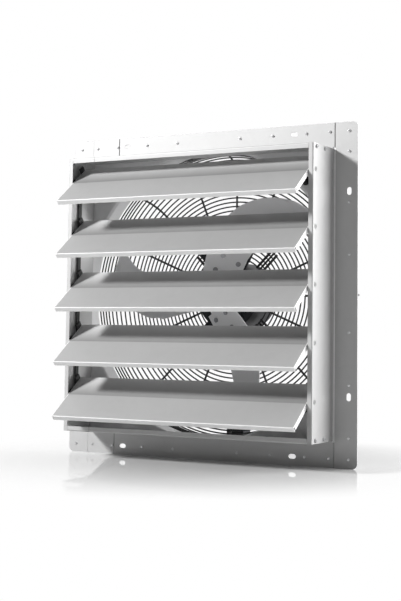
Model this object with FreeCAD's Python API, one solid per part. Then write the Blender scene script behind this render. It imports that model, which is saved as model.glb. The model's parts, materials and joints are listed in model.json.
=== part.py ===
"""Wall-mounted shutter exhaust fan, built as separate pieces.

Frame: millimetres, +Z up. The origin is the centre of the wall flange, on the flange face that bears on
the wall. The shutter faces -Y and the motor stands on the +Y side.
"""
import FreeCAD, Part
import math
import os

V = FreeCAD.Vector
os.makedirs("parts", exist_ok=True)

# Wall flange and shutter box
SHEET = 1.2               # housing sheet thickness
BEND = 1.2                # inner radius of every bend in the housing sheet
FLANGE_WIDTH = 46.0       # flange round the box
FLANGE_CORNER = 10.0      # rounding of the flange corners
BOX = 508.0               # outer side of the shutter box
BOX_DEPTH = 84.0          # flange face to the front of the box
LIP = 9.0                 # width of the front lips
SEAM_STEP = 3.0           # corner seams stand this far outside the box walls
SEAM_GAP = 0.8            # open width of a sheet seam
SPLIT_IN = 57.5           # seam between short and long rails, in from the left of the box
TAB_DEPTH = 58.0          # rail end tabs, along Y
TAB_HEIGHT = 10.0         # rail end tabs, down the side wall
TAB_INSET = 4.0           # rail end tabs start this far behind the front lip

# Slots, rivets and screws of the housing
HOLE_INSET = 15.9         # hole line, in from the flange edge
SLOT_LENGTH = 14.0
SLOT_WIDTH = 8.0
SLOT_RAIL_IN = 106.8      # slot centres along the rails, in from the corner rivets
SLOT_SIDE_IN = 106.1      # slot centres along the sides, in from the corner rivets
RIVET_R = 1.6             # rivet shank
RIVET_HEAD_R = 2.5
RIVET_HEAD_H = 1.1
RIVET_EDGE = 0.8          # rounding of the rivet heads
RIVET_TAIL_R = 2.2        # set end behind the panel
HOLE_PLAY = 0.05          # radial play of a rivet or screw in its hole
RIVETS_RAIL_IN = (37.1, 83.1, 150.1, 217.1)  # in from the corner rivets
RIVETS_SIDE_IN = (36.1, 126.1, 216.6)
SCREW_R = 2.0             # box corner screws
SCREW_HEAD_R = 3.6
SCREW_HEAD_H = 2.2
SCREW_EDGE = 1.3          # rounding of the screw heads
SCREW_SETBACK = (13.0, 47.0)  # corner screws behind the front of the box
SCREW_DROP = 5.5          # corner screws below the top of the box
SCREW_TAIL = 2.5          # thread that shows past the rail tab

# Orifice panel
ORIFICE_EDGE = 35.0       # orifice to the edge of the panel
COLLAR_DEPTH = 36.0       # flange face to the end of the orifice collar
COLLAR_BEND = 4.0
COLLAR_LAND = 12.0        # flat of the rolled collar before it meets the plate

# Louvres: local u runs from the pivot to the rear edge, local v is the outer normal
LOUVRE_COUNT = 5
LOUVRE_TOP_DROP = 44.4    # top pivot below the top of the box
LOUVRE_BOTTOM_RISE = 70.0  # bottom pivot above the bottom of the box
PIVOT_SETBACK = 10.6      # pivots behind the front of the box
LOUVRE_SHEET = 1.0
LOUVRE_BEND = 0.6
LOUVRE_FRONT = 72.0       # pivot to the front edge
LOUVRE_REAR = 40.0        # pivot to the rear edge
LOUVRE_LIP = 9.0          # turned-down front edge
LOUVRE_RISE = 4.6         # blade outer face above the pivot axis
END_FLANGE = 8.0          # turned-down ends
END_RELIEF = 3.0          # notch between an end flange and the front lip
END_REAR_CUT = 6.0        # end flanges stop this far before the rear edge
REST_TILT = 37.4          # blade slope at rest, front edge down
STUB_R = 3.0              # louvre pivot stubs
STUB_PAD = 3.0            # thickness of the moulded end pieces
STUB_PAD_R = 4.6
RUN_PLAY = 0.08           # radial running clearance of every pivot
BUSH_R = 4.6              # bush sleeve in the wall
BUSH_FLANGE_R = 6.2
BUSH_FLANGE = 1.0
BUSH_PROUD = 0.6          # bush and stub show this much outside the wall
CRANK_R = 24.0            # pivot to crank pin
CRANK_ANGLE = -17.4       # crank pin from the u axis
CRANK_BOSS_R = 5.0
CRANK_PAD_R = 5.6         # crank arm round the pivot
CRANK_PIN_R = 2.0
EAR_U = (25.0, 38.0)      # clip ear along u
EAR_TOP = 14.0            # clip ear above the pivot axis
BAR_WIDTH = 9.0
BAR_THICK = 2.0
BAR_GAP = 2.0             # crank pad to tie bar
BAR_END = 6.0             # tie bar past its outer pins
PIN_PROUD = 0.5           # crank pin past the tie bar
PIN_CLEAR = 1.3           # crank pins clear of the side wall

# Wire guard: ribs run back, round a shoulder and in to the motor
GUARD_STEP = 5.0          # rib legs outside the orifice
GUARD_BACK = 115.0        # flat back of the ribs
GUARD_SHOULDER = 50.0
RIB_COUNT = 16
RIB_R = 2.0
RIB_END = 3.0             # ribs end this far inside the innermost ring
RING_R = 1.4
RING_CLEAR = 9.0          # innermost ring outside the motor
RING_PITCH = 8.3          # rings on the flat back
RING_PITCH_SIDE = 9.5     # rings round the shoulder and down the legs
WELD = 0.2                # wires sink this far into each other
FOOT = 2.0                # guard foot plates
FOOT_WIDTH = 22.0
FOOT_PLAY = 0.5           # foot plates clear of the collar's bend
FOOT_OUT = 9.0            # foot plate past its bolt
GUARD_BOLT_OUT = 12.8     # guard bolts outside the rib legs
BOLT_R = 3.0
BOLT_HEAD_R = 5.5
BOLT_HEAD_H = 3.6
BOLT_EDGE = 1.8           # rounding of the bolt heads
BOLT_TAIL = 2.0           # thread past the nut
WASHER_R = 8.0
WASHER = 1.6
NUT_R = 5.8
NUT_H = 4.6

# Motor and its bracket
BRACKET_FRONT = 76.0      # front face of the hourglass bracket
BRACKET = 2.0
LEG_CLEAR = 18.0          # bracket legs outside the motor
BRACKET_WIDE = 60.0       # half width at its top and bottom
BRACKET_WAIST = 31.0      # half width at the waist
BRACKET_WAIST_Z = 34.0    # half height of the straight waist
BRACKET_HOLE_R = 17.0
LEG_WIDTH = 22.0          # bracket legs, back to the guard rings
STAY_R = 2.5              # paired rods on the diagonals
STAY_SPREAD = 7.0         # rods each side of the diagonal rib
STAY_PAST = 4.0           # rods start this far inside the innermost ring
STAY_LENGTH = 47.0
MOTOR_R = 64.0
MOTOR_WALL = 2.5
BELL = 10.0               # depth of each end bell
MOTOR_LENGTH = 86.0       # over both bells
BELL_SPIGOT = 4.0         # bell spigot inside the shell
BELL_EDGE = 3.0           # rounding of the bells' outer edges
MOTOR_SCREW_IN = 8.0      # motor screws inside the motor's rim
MOTOR_SCREW_ANGLE = 65.0  # motor screws above and below the X axis
MOTOR_SCREW_R = 2.5
MOTOR_SCREW_HEAD_R = 4.6
MOTOR_SCREW_HEAD_H = 3.2
MOTOR_SCREW_GRIP = 6.0    # thread in the front bell
BEARING_R = 13.0
BEARING_WIDTH = 9.0
SHAFT_R = 5.0
SHAFT_PAST = 2.5          # shaft past the hub nut
STATOR_LENGTH = 36.0
STATOR_BORE_R = 36.0
AIR_GAP = 0.6
COIL_OVERHANG = 9.0
COIL_WALL = 14.0
COIL_SPACE = 4.0          # winding heads inside the shell
COIL_EDGE = 3.0           # rounding of the winding heads
SHAFT_EYE = 1.5           # radial gap of the shaft in the front bell
FIT_PLAY = 0.05           # radial play of a fixed fit

# Fan wheel
TIP_GAP = 37.0            # straight blade ends inside the orifice
BLADES = 3
BLADE_PHASE = 58.0        # direction of the first blade
BLADE_SHEET = 1.6
BLADE_MID = 20.0          # blade mid plane
BLADE_ROOT_R = 30.0
BLADE_PITCH = -22.0       # blade angle out of the fan plane, leading edge to the front
BLADE_CAMBER = 0.07       # arc rise over chord, at the tip
BLADE_ROOT = (35.0, 32.0)  # leading and trailing edges from the arm's centre line, at the root
BLADE_OUTLINE = (         # share of the paddle's span, then its leading and trailing edges
    (0.0, 53.0, 27.0), (0.17, 52.0, 29.0), (0.33, 46.5, 34.5), (0.47, 40.0, 41.0), (0.58, 33.0, 47.0),
    (0.7, 21.0, 57.0), (0.82, 4.5, 72.0), (0.9, -12.0, 81.0), (0.965, -33.0, 86.0), (1.0, -50.0, 84.0))
HUB_R = 17.0
HUB_LENGTH = 26.0
ARM = 3.0                 # hub arms that carry the blades
ARM_WIDTH = 46.0
ARM_REACH = 92.0
BLADE_RIVET_R = 2.5
BLADE_RIVET_HEAD_R = 4.5
BLADE_RIVET_HEAD_H = 2.0
BLADE_RIVETS = (45.0, 75.0)
RIVET_SPREAD = 16.0       # blade rivets each side of an arm's centre line
HUB_NUT_R = 8.0
HUB_NUT_H = 6.5

# Junction box behind the guard
JUNCTION_WIDE = 36.0
JUNCTION_TALL = 84.0
JUNCTION_DEEP = 26.0
JUNCTION_WALL = 2.0
JUNCTION_LID = 2.0
LID_PLAY = 0.3            # lid rib inside the walls
JUNCTION_RING = 14        # its screws pass the gap outside this ring
JUNCTION_SCREW_X = 9.0
JUNCTION_DROP = 32.0      # middle of the box below its screws
JUNCTION_SCREW_R = 1.8
JUNCTION_SCREW_HEAD_R = 3.5
JUNCTION_SCREW_HEAD_H = 2.0
CLAMP = 1.5               # clamp plate in front of the rings
CLAMP_MARGIN = 7.0
CONDUIT_R = 4.5
CONDUIT_WALL = 1.0
GLAND_R = 7.0
GLAND_RIM = 2.0           # gland nut past its neck
GLAND_NUT = 5.0
GLAND_LENGTH = 13.0

# Places that several pieces share
HALF_BOX = BOX / 2
HALF_FLANGE = HALF_BOX + FLANGE_WIDTH
WALL_IN = HALF_BOX - SHEET
HOLE_LINE = HALF_FLANGE - HOLE_INSET
SLOT_RAIL = HOLE_LINE - SLOT_RAIL_IN
SLOT_SIDE = HOLE_LINE - SLOT_SIDE_IN
SEAM_X = HALF_BOX + SEAM_STEP
SPLIT_X = SPLIT_IN - HALF_BOX
SCREW_Y = [setback - BOX_DEPTH for setback in SCREW_SETBACK]
PANEL_FRONT = SHEET
PANEL_BACK = PANEL_FRONT + SHEET
ORIFICE_R = HALF_FLANGE - ORIFICE_EDGE
PIVOT_Y = -BOX_DEPTH + PIVOT_SETBACK
LOUVRE_HALF = WALL_IN - STUB_PAD - BAR_GAP - BAR_THICK - PIN_PROUD - PIN_CLEAR
LOUVRE_TOP_Z = HALF_BOX - LOUVRE_TOP_DROP
LOUVRE_PITCH = (LOUVRE_TOP_Z + HALF_BOX - LOUVRE_BOTTOM_RISE) / (LOUVRE_COUNT - 1)
GUARD_R = ORIFICE_R + GUARD_STEP
GUARD_BOLT = (GUARD_R + GUARD_BOLT_OUT) / math.sqrt(2)
FOOT_TOP = PANEL_BACK + FOOT
RING_FIRST = MOTOR_R + RING_CLEAR
RIB_END_R = RING_FIRST - RIB_END
RIB_TO_RING = RIB_R + RING_R - WELD
RING_BACK = GUARD_BACK - RIB_TO_RING
STAY_Y = RING_BACK + RING_R + STAY_R - WELD
STAY_IN = RING_FIRST - STAY_PAST
STAY_OUT = STAY_IN + STAY_LENGTH
BRACKET_TOP = MOTOR_R + LEG_CLEAR + BRACKET
MOTOR_SCREW_RADIUS = MOTOR_R - MOTOR_SCREW_IN
FAN_R = ORIFICE_R - TIP_GAP
HUB_FRONT = BLADE_MID - HUB_LENGTH / 2
SHAFT_FRONT = HUB_FRONT - HUB_NUT_H - SHAFT_PAST
MOTOR_FRONT = BRACKET_FRONT + BRACKET
MOTOR_BACK = MOTOR_FRONT + MOTOR_LENGTH
MOTOR_MID = (MOTOR_FRONT + MOTOR_BACK) / 2
JUNCTION_FRONT = GUARD_BACK + RIB_R
JUNCTION_BACK = JUNCTION_FRONT + JUNCTION_DEEP
JUNCTION_MID = (JUNCTION_FRONT + JUNCTION_BACK) / 2
CLAMP_FRONT = RING_BACK - RING_R - CLAMP
CRANK_U = CRANK_R * math.cos(math.radians(CRANK_ANGLE))
CRANK_V = CRANK_R * math.sin(math.radians(CRANK_ANGLE))
PAD_OUT = LOUVRE_HALF + STUB_PAD
BAR_IN = PAD_OUT + BAR_GAP
X_AXIS, Y_AXIS, Z_AXIS = V(1, 0, 0), V(0, 1, 0), V(0, 0, 1)
ORIGIN = V(0, 0, 0)
NEAR = 1e-6               # two heights this close are the same


def save(name, shapes):
    """Write one node: a solid or a group of separate solids."""
    group = shapes if isinstance(shapes, list) else [shapes]
    solids = [solid for shape in group for solid in shape.Solids]
    node = solids[0] if len(solids) == 1 else Part.makeCompound(solids)
    node.exportStep("parts/%s.step" % name)
    bad = [solid for solid in solids if not solid.isValid()]
    print("%-20s %3d solids %12.1f mm3%s" % (name, len(solids), node.Volume, "  INVALID" if bad else ""))


def block(low, high):
    """Box between two corners."""
    size = V(*high) - V(*low)
    return Part.makeBox(size.x, size.y, size.z, V(*low))


def rod(start, end, radius):
    """Round bar between two points."""
    line = end - start
    return Part.makeCylinder(radius, line.Length, start, line)


def fuse(shapes):
    """One solid from touching or overlapping shapes."""
    return shapes[0].multiFuse(shapes[1:]).removeSplitter()


def polygon(points):
    """Flat face through corner points."""
    return Part.Face(Part.makePolygon(points + [points[0]]))


def mirrored_x(shape):
    """Mirror image across the middle of the part, left for right."""
    return shape.mirror(ORIGIN, X_AXIS)


def mirrored_z(shape):
    """Mirror image across the middle of the part, top for bottom."""
    return shape.mirror(ORIGIN, Z_AXIS)


def turned(shape, degrees, axis=Y_AXIS, centre=ORIGIN):
    """Copy of a shape turned about an axis."""
    copy = shape.copy()
    copy.rotate(centre, axis, degrees)
    return copy


def around(degrees, radius, y):
    """Point at an angle and a radius about the fan axis: 0 is +X and 90 is +Z."""
    angle = math.radians(degrees)
    return V(radius * math.cos(angle), y, radius * math.sin(angle))


def sheet_face(path, thickness, bend, place):
    """Section of a bent sheet.

    path is the line of one face as 2D points, the sheet lies to its left, bend is the inner bend radius
    and place turns a 2D point into a 3D one.
    """
    points = [V(p[0], p[1], 0) for p in path]
    steps = [(b - a).normalize() for a, b in zip(points, points[1:])]
    normals = [V(-s.y, s.x, 0) for s in steps]
    near, far = [], []
    start = points[0]
    for index in range(len(steps)):
        if index == len(steps) - 1:
            end = points[-1]
        else:
            after = steps[index + 1]
            turn = math.atan2(steps[index].cross(after).z, steps[index].dot(after))
            radius = bend + thickness if turn > 0 else bend
            trim = radius * math.tan(abs(turn) / 2)
            end = points[index + 1] - steps[index] * trim
        side = normals[index] * thickness
        near.append(("line", start, end))
        far.append(("line", start + side, end + side))
        if index < len(steps) - 1:
            begin = points[index + 1] + after * trim
            sign = 1 if turn > 0 else -1
            centre = end + normals[index] * (sign * radius)
            middle = normals[index] + normals[index + 1]
            middle.normalize()
            near.append(("arc", end, centre - middle * (sign * radius), begin))
            inner = radius - sign * thickness
            far.append(("arc", end + side, centre - middle * (sign * inner),
                        begin + normals[index + 1] * thickness))
            start = begin
    edges = []
    for piece in near:
        spots = [place(p.x, p.y) for p in piece[1:]]
        edges.append(Part.Arc(*spots).toShape() if piece[0] == "arc" else Part.makeLine(*spots))
    edges.append(Part.makeLine(place(near[-1][-1].x, near[-1][-1].y), place(far[-1][-1].x, far[-1][-1].y)))
    for piece in reversed(far):
        spots = [place(p.x, p.y) for p in reversed(piece[1:])]
        edges.append(Part.Arc(*spots).toShape() if piece[0] == "arc" else Part.makeLine(*spots))
    edges.append(Part.makeLine(place(far[0][1].x, far[0][1].y), place(near[0][1].x, near[0][1].y)))
    return Part.Face(Part.Wire(edges))


def slot_cutter(x, z, along_x):
    """Slot through the flange and the panel, centred on a point of the hole line."""
    half = (SLOT_LENGTH - SLOT_WIDTH) / 2
    radius = SLOT_WIDTH / 2
    reach = V(half, 0, 0) if along_x else V(0, 0, half)
    wide = V(half, 0, radius) if along_x else V(radius, 0, half)
    middle = V(x, -SHEET, z)
    depth = PANEL_BACK + 2 * SHEET
    ends = [Part.makeCylinder(radius, depth, middle + reach * s, Y_AXIS) for s in (-1, 1)]
    body = block(middle - wide, middle + wide + V(0, depth, 0))
    return fuse(ends + [body])


def slot_places():
    """Centres of the eight wall slots, with the direction that each runs in."""
    rails = [(s * SLOT_RAIL, t * HOLE_LINE, True) for s in (-1, 1) for t in (-1, 1)]
    sides = [(s * HOLE_LINE, t * SLOT_SIDE, False) for s in (-1, 1) for t in (-1, 1)]
    return rails + sides


def rivet_places():
    """Centres of the flange rivets, on the hole line."""
    along_rail = [HOLE_LINE - inset for inset in RIVETS_RAIL_IN]
    along_side = [HOLE_LINE - inset for inset in RIVETS_SIDE_IN]
    rails = [(s * x, t * HOLE_LINE) for x in along_rail for s in (-1, 1) for t in (-1, 1)]
    sides = [(s * HOLE_LINE, t * z) for z in along_side for s in (-1, 1) for t in (-1, 1)]
    corners = [(s * HOLE_LINE, t * HOLE_LINE) for s in (-1, 1) for t in (-1, 1)]
    return rails + sides + corners


def flange_holes():
    """Cutters of all slots and rivet holes in the flange and the panel."""
    radius = RIVET_R + HOLE_PLAY
    depth = PANEL_BACK + 2 * SHEET
    holes = [Part.makeCylinder(radius, depth, V(x, -SHEET, z), Y_AXIS) for x, z in rivet_places()]
    return holes + [slot_cutter(*place) for place in slot_places()]


def rounded_plate(half, y, thickness):
    """Square plate across Y with the flange's rounded corners."""
    plate = block((-half, y, -half), (half, y + thickness, half))
    upright = [e for e in plate.Edges if abs(e.Vertexes[0].Y - e.Vertexes[1].Y) > thickness / 2]
    return plate.makeFillet(FLANGE_CORNER, upright)


def screw_holes():
    """Cutters of the corner screws of the right-hand wall."""
    radius = SCREW_R + HOLE_PLAY
    z = HALF_BOX - SCREW_DROP
    depth = HALF_BOX - LOUVRE_HALF
    return [Part.makeCylinder(radius, depth, V(LOUVRE_HALF, y, s * z), X_AXIS)
            for y in SCREW_Y for s in (-1, 1)]


def louvre_pivots():
    """Pivot heights, from the top down."""
    return [LOUVRE_TOP_Z - LOUVRE_PITCH * i for i in range(LOUVRE_COUNT)]


def right_wall():
    """Side wall with its front lip, bent from one sheet with a full-height flange."""
    path = [(HALF_BOX - LIP, -BOX_DEPTH), (HALF_BOX, -BOX_DEPTH), (HALF_BOX, 0), (HALF_FLANGE, 0)]
    face = sheet_face(path, SHEET, BEND, lambda x, y: V(x, y, -HALF_BOX))
    wall = face.extrude(V(0, 0, BOX))
    corners = [block((SEAM_X, 0, HALF_BOX), (HALF_FLANGE, SHEET, HALF_FLANGE))]
    corners.append(mirrored_z(corners[0]))
    wall = fuse([wall] + corners)
    wall = wall.common(fuse([rounded_plate(HALF_FLANGE, 0, SHEET),
                             block((0, -BOX_DEPTH, -HALF_BOX), (HALF_BOX + BEND + SHEET, 0, HALF_BOX))]))
    bushes = [Part.makeCylinder(BUSH_R + FIT_PLAY, 3 * SHEET, V(WALL_IN - SHEET, PIVOT_Y, z), X_AXIS)
              for z in louvre_pivots()]
    return wall.cut(flange_holes() + screw_holes() + bushes)


def top_rail(low_x, high_x, tab_side):
    """Length of the top rail: front lip, top wall and flange, with an end tab at the side wall."""
    path = [(HALF_BOX - LIP, -BOX_DEPTH), (HALF_BOX, -BOX_DEPTH), (HALF_BOX, 0), (HALF_FLANGE, 0)]
    face = sheet_face([(y, z) for z, y in reversed(path)], SHEET, BEND, lambda y, z: V(-SEAM_X, y, z))
    rail = face.extrude(V(2 * SEAM_X, 0, 0))
    inside = WALL_IN - SEAM_GAP / 2
    lip_end = HALF_BOX - LIP - SEAM_GAP / 2
    flange_end = SEAM_X - SEAM_GAP / 2
    bend_top = HALF_BOX + SHEET + BEND
    bend_back = SHEET + BEND - BOX_DEPTH
    lip = block((-lip_end, -BOX_DEPTH, 0), (lip_end, bend_back, HALF_FLANGE))
    wall = block((-inside, bend_back, 0), (inside, SHEET, bend_top))
    flange = block((-flange_end, 0, bend_top), (flange_end, SHEET, HALF_FLANGE))
    rail = rail.common(fuse([lip, wall, flange]))
    rail = rail.common(block((low_x, -BOX_DEPTH, 0), (high_x, SHEET, HALF_FLANGE)))
    tab_y = -BOX_DEPTH + SHEET + TAB_INSET
    tab = block((inside - SHEET, tab_y, WALL_IN - TAB_HEIGHT), (inside, tab_y + TAB_DEPTH, WALL_IN))
    tab = tab if tab_side > 0 else mirrored_x(tab)
    screws = screw_holes()
    return fuse([rail, tab]).cut(flange_holes() + screws + [mirrored_x(s) for s in screws])


def flange_rivets():
    """Pop rivets that hold the housing flange to the orifice panel."""
    rivets = []
    for x, z in rivet_places():
        head = Part.makeCylinder(RIVET_HEAD_R, RIVET_HEAD_H, V(x, -RIVET_HEAD_H, z), Y_AXIS)
        rim = [e for e in head.Edges if abs(e.BoundBox.YMax + RIVET_HEAD_H) < NEAR]
        head = head.makeFillet(RIVET_EDGE, rim)
        shank = Part.makeCylinder(RIVET_R, PANEL_BACK, V(x, 0, z), Y_AXIS)
        tail = Part.makeCylinder(RIVET_TAIL_R, RIVET_HEAD_H, V(x, PANEL_BACK, z), Y_AXIS)
        rivets.append(fuse([head, shank, tail]))
    return rivets


def wall_screws():
    """Screws that hold the rail tabs to the side walls."""
    screws = []
    inner = WALL_IN - SEAM_GAP / 2 - SHEET - SCREW_TAIL
    for y in SCREW_Y:
        for s in (-1, 1):
            z = s * (HALF_BOX - SCREW_DROP)
            head = Part.makeCylinder(SCREW_HEAD_R, SCREW_HEAD_H, V(HALF_BOX, y, z), X_AXIS)
            rim = [e for e in head.Edges if abs(e.BoundBox.XMin - HALF_BOX - SCREW_HEAD_H) < NEAR]
            head = head.makeFillet(SCREW_EDGE, rim)
            shank = Part.makeCylinder(SCREW_R, HALF_BOX - inner, V(inner, y, z), X_AXIS)
            screws.append(fuse([head, shank]))
    return screws + [mirrored_x(s) for s in screws]


def orifice_panel():
    """Square plate behind the flange with a rolled collar round the fan."""
    land = ORIFICE_R + SHEET + COLLAR_BEND + COLLAR_LAND
    path = [(ORIFICE_R, COLLAR_DEPTH), (ORIFICE_R, PANEL_FRONT), (land, PANEL_FRONT)]
    face = sheet_face(path, SHEET, COLLAR_BEND, lambda r, y: V(r, y, 0))
    collar = face.revolve(ORIGIN, Y_AXIS, 360)
    plate = rounded_plate(HALF_FLANGE, PANEL_FRONT, SHEET)
    plate = plate.cut(Part.makeCylinder(land, 3 * SHEET, V(0, PANEL_FRONT - SHEET, 0), Y_AXIS))
    bolts = [Part.makeCylinder(BOLT_R + HOLE_PLAY, 3 * SHEET, V(x, PANEL_FRONT - SHEET, z), Y_AXIS)
             for x, z in guard_bolt_places()]
    return fuse([plate, collar]).cut(flange_holes() + bolts)


def guard_bolt_places():
    """Centres of the four guard bolts."""
    return [(s * GUARD_BOLT, t * GUARD_BOLT) for s in (-1, 1) for t in (-1, 1)]


def pivot_bushes():
    """Flanged bushes in both side walls."""
    bushes = []
    for z in louvre_pivots():
        sleeve = Part.makeCylinder(BUSH_R, SHEET + BUSH_PROUD, V(WALL_IN, PIVOT_Y, z), X_AXIS)
        collar = Part.makeCylinder(BUSH_FLANGE_R, BUSH_FLANGE, V(WALL_IN - BUSH_FLANGE, PIVOT_Y, z), X_AXIS)
        bore = Part.makeCylinder(STUB_R + RUN_PLAY, 4 * SHEET + BUSH_FLANGE,
                                 V(WALL_IN - BUSH_FLANGE - SHEET, PIVOT_Y, z), X_AXIS)
        bushes.append(fuse([sleeve, collar]).cut(bore))
    return bushes + [mirrored_x(b) for b in bushes]


def at_pivot(shape, z):
    """Set a louvre piece, drawn flat about the origin, at its pivot and rest slope."""
    copy = turned(shape, REST_TILT, X_AXIS)
    copy.translate(V(0, PIVOT_Y, z))
    return copy


def louvre_blade():
    """Flat blade with a turned-down front lip and ends; +Y is u and +Z is v."""
    lip_end = LOUVRE_RISE - LOUVRE_LIP
    path = [(LOUVRE_REAR, LOUVRE_RISE), (-LOUVRE_FRONT, LOUVRE_RISE), (-LOUVRE_FRONT, lip_end)]
    face = sheet_face(path, LOUVRE_SHEET, LOUVRE_BEND, lambda y, z: V(-LOUVRE_HALF, y, z))
    blade = face.extrude(V(2 * LOUVRE_HALF, 0, 0))
    front = -LOUVRE_FRONT + LOUVRE_SHEET + LOUVRE_BEND + END_RELIEF
    rear = LOUVRE_REAR - END_REAR_CUT
    drop = LOUVRE_RISE - END_FLANGE
    ends = []
    for s in (-1, 1):
        outer = s * LOUVRE_HALF
        inner = outer - s * LOUVRE_SHEET
        low, high = min(outer, inner), max(outer, inner)
        ends.append(block((low, front, drop), (high, rear, LOUVRE_RISE - LOUVRE_SHEET)))
    return fuse([blade] + ends)


def link_face(centres, radii, x):
    """Outline of a link plate round two bosses, in the plane across X."""
    (y0, z0), (y1, z1) = centres
    r0, r1 = radii
    span = math.hypot(y1 - y0, z1 - z0)
    lean = math.atan2(z1 - z0, y1 - y0)
    side = math.acos((r0 - r1) / span)
    def spot(y, z, radius, angle):
        return V(x, y + radius * math.cos(angle), z + radius * math.sin(angle))
    a, b = spot(y0, z0, r0, lean + side), spot(y1, z1, r1, lean + side)
    c, d = spot(y1, z1, r1, lean - side), spot(y0, z0, r0, lean - side)
    tip = spot(y1, z1, r1, lean)
    heel = spot(y0, z0, r0, lean + math.pi)
    sides = [Part.makeLine(a, b), Part.makeLine(c, d)]
    ends = [Part.Arc(b, tip, c).toShape(), Part.Arc(d, heel, a).toShape()]
    return Part.Face(Part.Wire([sides[0], ends[0], sides[1], ends[1]]))


def louvre_stub():
    """Moulded right-hand end piece: a pad on the end flange and a pivot stub."""
    pad = Part.makeCylinder(STUB_PAD_R, STUB_PAD, V(LOUVRE_HALF, 0, 0), X_AXIS)
    pin = Part.makeCylinder(STUB_R, HALF_BOX + BUSH_PROUD - LOUVRE_HALF, V(LOUVRE_HALF, 0, 0), X_AXIS)
    return fuse([pad, pin])


def louvre_crank():
    """Moulded left-hand end piece: pivot stub, crank arm with its pin, and a clip ear."""
    face = link_face([(0, 0), (CRANK_U, CRANK_V)], (CRANK_PAD_R, CRANK_BOSS_R), -PAD_OUT)
    arm = face.extrude(V(STUB_PAD, 0, 0))
    ear = block((-PAD_OUT, EAR_U[0], CRANK_V), (-LOUVRE_HALF, EAR_U[1], EAR_TOP))
    stub = Part.makeCylinder(STUB_R, HALF_BOX + BUSH_PROUD - LOUVRE_HALF, V(-LOUVRE_HALF, 0, 0), -X_AXIS)
    pin_length = STUB_PAD + BAR_GAP + BAR_THICK + PIN_PROUD
    pin = Part.makeCylinder(CRANK_PIN_R, pin_length, V(-LOUVRE_HALF, CRANK_U, CRANK_V), -X_AXIS)
    return fuse([arm, ear, stub, pin])


def crank_pin(z):
    """Place of a crank pin at rest, across X."""
    angle = math.radians(REST_TILT + CRANK_ANGLE)
    return PIVOT_Y + CRANK_R * math.cos(angle), z + CRANK_R * math.sin(angle)


def tie_bar():
    """Flat bar that joins the crank pins, so that the louvres move as one."""
    pins = [crank_pin(z) for z in louvre_pivots()]
    y = pins[0][0]
    low, high = pins[-1][1] - BAR_END, pins[0][1] + BAR_END
    bar = block((-BAR_IN - BAR_THICK, y - BAR_WIDTH / 2, low), (-BAR_IN, y + BAR_WIDTH / 2, high))
    holes = [Part.makeCylinder(CRANK_PIN_R + RUN_PLAY, 3 * BAR_THICK, V(-BAR_IN + BAR_THICK, y, z), -X_AXIS)
             for _, z in pins]
    return bar.cut(holes)


def guard_rib():
    """One rib, at 0 degrees: leg, shoulder and back."""
    turn = GUARD_BACK - GUARD_SHOULDER
    inner = GUARD_R - GUARD_SHOULDER
    slant = GUARD_SHOULDER * math.sqrt(0.5)
    path = Part.Wire([
        Part.makeLine(V(GUARD_R, FOOT_TOP, 0), V(GUARD_R, turn, 0)),
        Part.Arc(V(GUARD_R, turn, 0), V(inner + slant, turn + slant, 0), V(inner, GUARD_BACK, 0)).toShape(),
        Part.makeLine(V(inner, GUARD_BACK, 0), V(RIB_END_R, GUARD_BACK, 0)),
    ])
    section = Part.Wire(Part.makeCircle(RIB_R, V(GUARD_R, FOOT_TOP, 0), Y_AXIS))
    return path.makePipeShell([section], True, False)


def ring_places():
    """Radius and depth of each guard ring, from the motor outwards."""
    inner = GUARD_R - GUARD_SHOULDER
    turn = GUARD_BACK - GUARD_SHOULDER
    places = []
    radius = RING_FIRST
    while radius < inner:
        places.append((radius, RING_BACK))
        radius += RING_PITCH
    reach = GUARD_SHOULDER - RIB_TO_RING
    quarter = GUARD_SHOULDER * math.pi / 2
    along = radius - inner
    while along < quarter:
        angle = along / GUARD_SHOULDER
        places.append((inner + reach * math.sin(angle), turn + reach * math.cos(angle)))
        along += RING_PITCH_SIDE
    y = turn - (along - quarter)
    while y > COLLAR_DEPTH + RING_PITCH_SIDE / 2:
        places.append((GUARD_R - RIB_TO_RING, y))
        y -= RING_PITCH_SIDE
    return places


def guard_rings(on_back):
    """Rings welded to the inside of the ribs: those of the flat back, or those of the shoulder and legs."""
    places = [(radius, y) for radius, y in ring_places() if (y == RING_BACK) == on_back]
    return [Part.makeTorus(radius, RING_R, V(0, y, 0), Y_AXIS) for radius, y in places]


def guard_base_ring():
    """Ring of rib wire welded outside the feet of the ribs."""
    return Part.makeTorus(GUARD_R + 2 * RIB_R - WELD, RIB_R, V(0, FOOT_TOP + RIB_R, 0), Y_AXIS)


def guard_feet():
    """Foot plates under the diagonal ribs, each with a bolt hole."""
    reach = GUARD_BOLT * math.sqrt(2)
    inner = ORIFICE_R + SHEET + COLLAR_BEND + FOOT_PLAY
    plate = block((inner, PANEL_BACK, -FOOT_WIDTH / 2), (reach + FOOT_OUT, FOOT_TOP, FOOT_WIDTH / 2))
    hole = Part.makeCylinder(BOLT_R + HOLE_PLAY, 3 * FOOT, V(reach, PANEL_BACK - FOOT, 0), Y_AXIS)
    foot = plate.cut(hole)
    return [turned(foot, 45 + 90 * i) for i in range(4)]


def hexagon(radius, height, base, axis_y=1):
    """Hexagonal head or nut across Y; radius is to its flats."""
    corner = radius / math.cos(math.radians(30))
    points = [base + around(60 * i, corner, 0) for i in range(6)]
    return polygon(points).extrude(V(0, axis_y * height, 0))


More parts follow.
